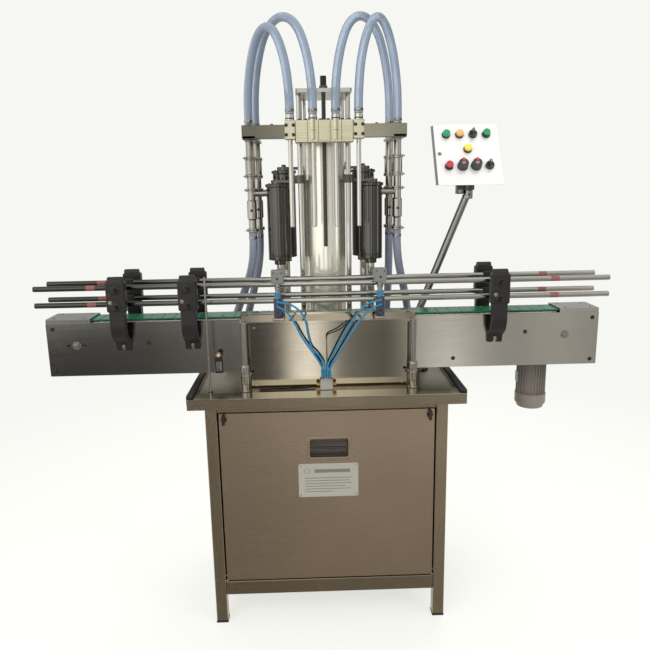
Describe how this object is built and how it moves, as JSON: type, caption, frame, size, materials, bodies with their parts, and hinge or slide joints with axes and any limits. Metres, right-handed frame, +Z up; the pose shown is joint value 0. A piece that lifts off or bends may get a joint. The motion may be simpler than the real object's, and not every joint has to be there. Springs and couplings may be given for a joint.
{
  "type": "piston liquid filler",
  "caption": "Floor-standing in-line liquid filler: cabinet and drip tray with a railed slat conveyor, a lifting nozzle carriage, metering cylinders and hoses, and a swivelling control box.",
  "frame": {"origin": "on the floor, under the middle of the table top", "axes": "+X along the conveyor towards its motor end, +Y away from the operator, +Z up"},
  "size_m": [1.8, 0.6, 1.9735],
  "materials": {
    "stainless_frame": "brushed stainless steel tube and sheet, slightly warm grey",
    "door_steel": "brushed stainless sheet, warm brown-grey",
    "panel_sheet": "brushed stainless sheet",
    "black_rubber": "matt black rubber",
    "latch_black": "semi-gloss dark moulding",
    "handle_black": "satin black coated pressed pocket",
    "plate_silver": "satin anodised plain plate",
    "conveyor_steel": "brushed stainless sheet, folded",
    "bed_plastic": "natural polyethylene and steel spacers",
    "belt_green": "moulded acetal slats, green",
    "shaft_steel": "turned steel",
    "bearing_black": "black flanged bearing blocks",
    "gearbox_grey": "grey enamel on a cast case",
    "motor_grey": "warm grey enamel, ribbed body",
    "rail_steel": "polished stainless rod",
    "bracket_black": "black glass-filled nylon",
    "post_steel": "turned stainless posts",
    "station_steel": "brushed stainless cover",
    "valve_grey": "grey anodised air block",
    "stopper_dark": "dark blue-grey anodised cylinder body",
    "tube_blue": "blue polyurethane air tube",
    "cable_black": "black cable sheath",
    "polished_steel": "polished stainless steel",
    "column_steel": "polished stainless tube",
    "carriage_steel": "machined stainless plates",
    "nozzle_steel": "polished stainless tube",
    "spindle_dark": "dark steel screw",
    "cylinder_steel": "ground stainless barrel",
    "bracket_dark": "dark grey plates",
    "pneumatic_grey": "anodised aluminium barrel",
    "hose_clear": "translucent pale blue-grey hose",
    "hose_violet": "translucent grey-violet hose",
    "box_steel": "brushed stainless enclosure",
    "bezel_black": "black button collars",
    "lamp_lens": "moulded lamp lenses, green, amber and yellow",
    "button_green": "green push button",
    "button_red": "red push button",
    "selector_black": "black selector lever",
    "knob_dark": "dark grey rotary knob with a red index"
  },
  "bodies": {
    "machine": {"frame": "stainless_frame", "feet": "black_rubber", "cabinet_panels": "panel_sheet", "table_tray": "stainless_frame", "tray_edging": "black_rubber", "conveyor_front_plate": "conveyor_steel", "conveyor_rear_plate": "conveyor_steel", "conveyor_bed": "bed_plastic", "end_covers": "conveyor_steel", "slat_belt": "belt_green", "shaft_bearings": "bearing_black", "gearbox": "gearbox_grey", "conveyor_motor": "motor_grey", "rail_brackets": "bracket_black", "support_posts": "post_steel", "station_box": "station_steel", "sensor_post": "post_steel", "air_manifold": "valve_grey", "stopper_left": "stopper_dark", "stopper_right": "stopper_dark", "air_tubes": "tube_blue", "sensor_cables": "cable_black", "guide_shafts": "polished_steel", "top_plate": "carriage_steel", "column_base": "polished_steel", "metering_cylinders": "cylinder_steel", "cylinder_brackets": "bracket_dark", "drive_cylinder": "pneumatic_grey", "valve_columns": "polished_steel", "suction_hoses": "hose_violet", "product_manifold": "polished_steel", "panel_arm": "polished_steel"},
    "door": {"front_panel": "door_steel", "pull_handle": "handle_black", "name_plate": "plate_silver"},
    "latch_left": {"latch_left": "latch_black"},
    "latch_right": {"latch_right": "latch_black"},
    "drive_shaft": {"drive_shaft": "shaft_steel"},
    "idler_shaft": {"idler_shaft": "shaft_steel"},
    "rail_front": {"rails_front": "rail_steel"},
    "rail_rear": {"rails_rear": "rail_steel"},
    "pin_left": {"stopper_left_pin": "polished_steel"},
    "pin_right": {"stopper_right_pin": "polished_steel"},
    "carriage": {"nozzle_carriage": "carriage_steel", "nozzles": "nozzle_steel", "column_cover": "column_steel", "upper_hoses_left": "hose_clear", "upper_hoses_right": "hose_clear"},
    "spindle": {"lift_spindle": "spindle_dark"},
    "pistons": {"piston_rods": "polished_steel", "drive_beam": "bracket_dark"},
    "control_head": {"control_box": "box_steel", "bezels": "bezel_black", "pilot_lamps": "lamp_lens"},
    "start_button": {"start_button": "button_green"},
    "stop_button": {"stop_button": "button_red"},
    "selector_run": {"selector_run": "selector_black"},
    "selector_mode": {"selector_mode": "selector_black"},
    "speed_knob": {"speed_knob": "knob_dark"},
    "fill_knob": {"fill_knob": "knob_dark"}
  },
  "joints": [
    {"name": "door_tilt", "type": "hinge", "parent": "machine", "child": "door", "pos_m": [0, -0.22, 0.16], "axis": [1, 0, 0], "range_deg": [0, 20]},
    {"name": "latch_left_turn", "type": "hinge", "parent": "door", "child": "latch_left", "pos_m": [-0.328, -0.22, 0.73], "axis": [0, 1, 0], "range_deg": [-90, 0]},
    {"name": "latch_right_turn", "type": "hinge", "parent": "door", "child": "latch_right", "pos_m": [0.328, -0.22, 0.73], "axis": [0, 1, 0], "range_deg": [0, 90]},
    {"name": "drive_spin", "type": "hinge", "parent": "machine", "child": "drive_shaft", "pos_m": [0.768, -0.112, 0.968], "axis": [0, 1, 0], "continuous": true},
    {"name": "idler_spin", "type": "hinge", "parent": "machine", "child": "idler_shaft", "pos_m": [-0.784, -0.112, 0.968], "axis": [0, 1, 0], "continuous": true},
    {"name": "rail_front_adjust", "type": "slide", "parent": "machine", "child": "rail_front", "axis": [0, 1, 0], "range_m": [0, 0.02]},
    {"name": "rail_rear_adjust", "type": "slide", "parent": "machine", "child": "rail_rear", "axis": [0, -1, 0], "range_m": [0, 0.02]},
    {"name": "stop_left_extend", "type": "slide", "parent": "machine", "child": "pin_left", "axis": [0, 1, 0], "range_m": [0, 0.03]},
    {"name": "stop_right_extend", "type": "slide", "parent": "machine", "child": "pin_right", "axis": [0, 1, 0], "range_m": [0, 0.03]},
    {"name": "head_lift", "type": "slide", "parent": "machine", "child": "carriage", "axis": [0, 0, 1], "range_m": [-0.04, 0.03], "deforming": ["upper_hoses_left", "upper_hoses_right"]},
    {"name": "spindle_turn", "type": "hinge", "parent": "machine", "child": "spindle", "pos_m": [0.01, -0.06, 1.5], "axis": [0, 0, 1], "range_deg": [-2000, 2000]},
    {"name": "piston_stroke", "type": "slide", "parent": "machine", "child": "pistons", "axis": [0, 0, 1], "range_m": [0, 0.1]},
    {"name": "control_swivel", "type": "hinge", "parent": "machine", "child": "control_head", "pos_m": [0.486, 0.006, 1.43], "axis": [0, 0, 1], "range_deg": [-45, 45]},
    {"name": "start_press", "type": "slide", "parent": "control_head", "child": "start_button", "axis": [0, 0.866, -0.5], "range_m": [0, 0.004], "stiffness_N_per_m": 400, "springref_m": -0.003},
    {"name": "stop_press", "type": "slide", "parent": "control_head", "child": "stop_button", "axis": [0, 0.866, -0.5], "range_m": [0, 0.004], "stiffness_N_per_m": 400, "springref_m": -0.003},
    {"name": "run_select", "type": "hinge", "parent": "control_head", "child": "selector_run", "pos_m": [0.5125, 0.075, 1.60654], "axis": [0, 0.866, -0.5], "range_deg": [-45, 45]},
    {"name": "mode_select", "type": "hinge", "parent": "control_head", "child": "selector_mode", "pos_m": [0.5575, 0.015, 1.50262], "axis": [0, 0.866, -0.5], "range_deg": [-45, 45]},
    {"name": "speed_set", "type": "hinge", "parent": "control_head", "child": "speed_knob", "pos_m": [0.4675, 0.015, 1.50262], "axis": [0, 0.866, -0.5], "range_deg": [-135, 135]},
    {"name": "fill_set", "type": "hinge", "parent": "control_head", "child": "fill_knob", "pos_m": [0.5125, 0.015, 1.50262], "axis": [0, 0.866, -0.5], "range_deg": [-135, 135]}
  ],
  "couplings": [
    {"joint": "spindle_turn", "follows": "head_lift", "rad_per_m": 785.4},
    {"joint": "idler_spin", "follows": "drive_spin", "ratio": 1}
  ]
}
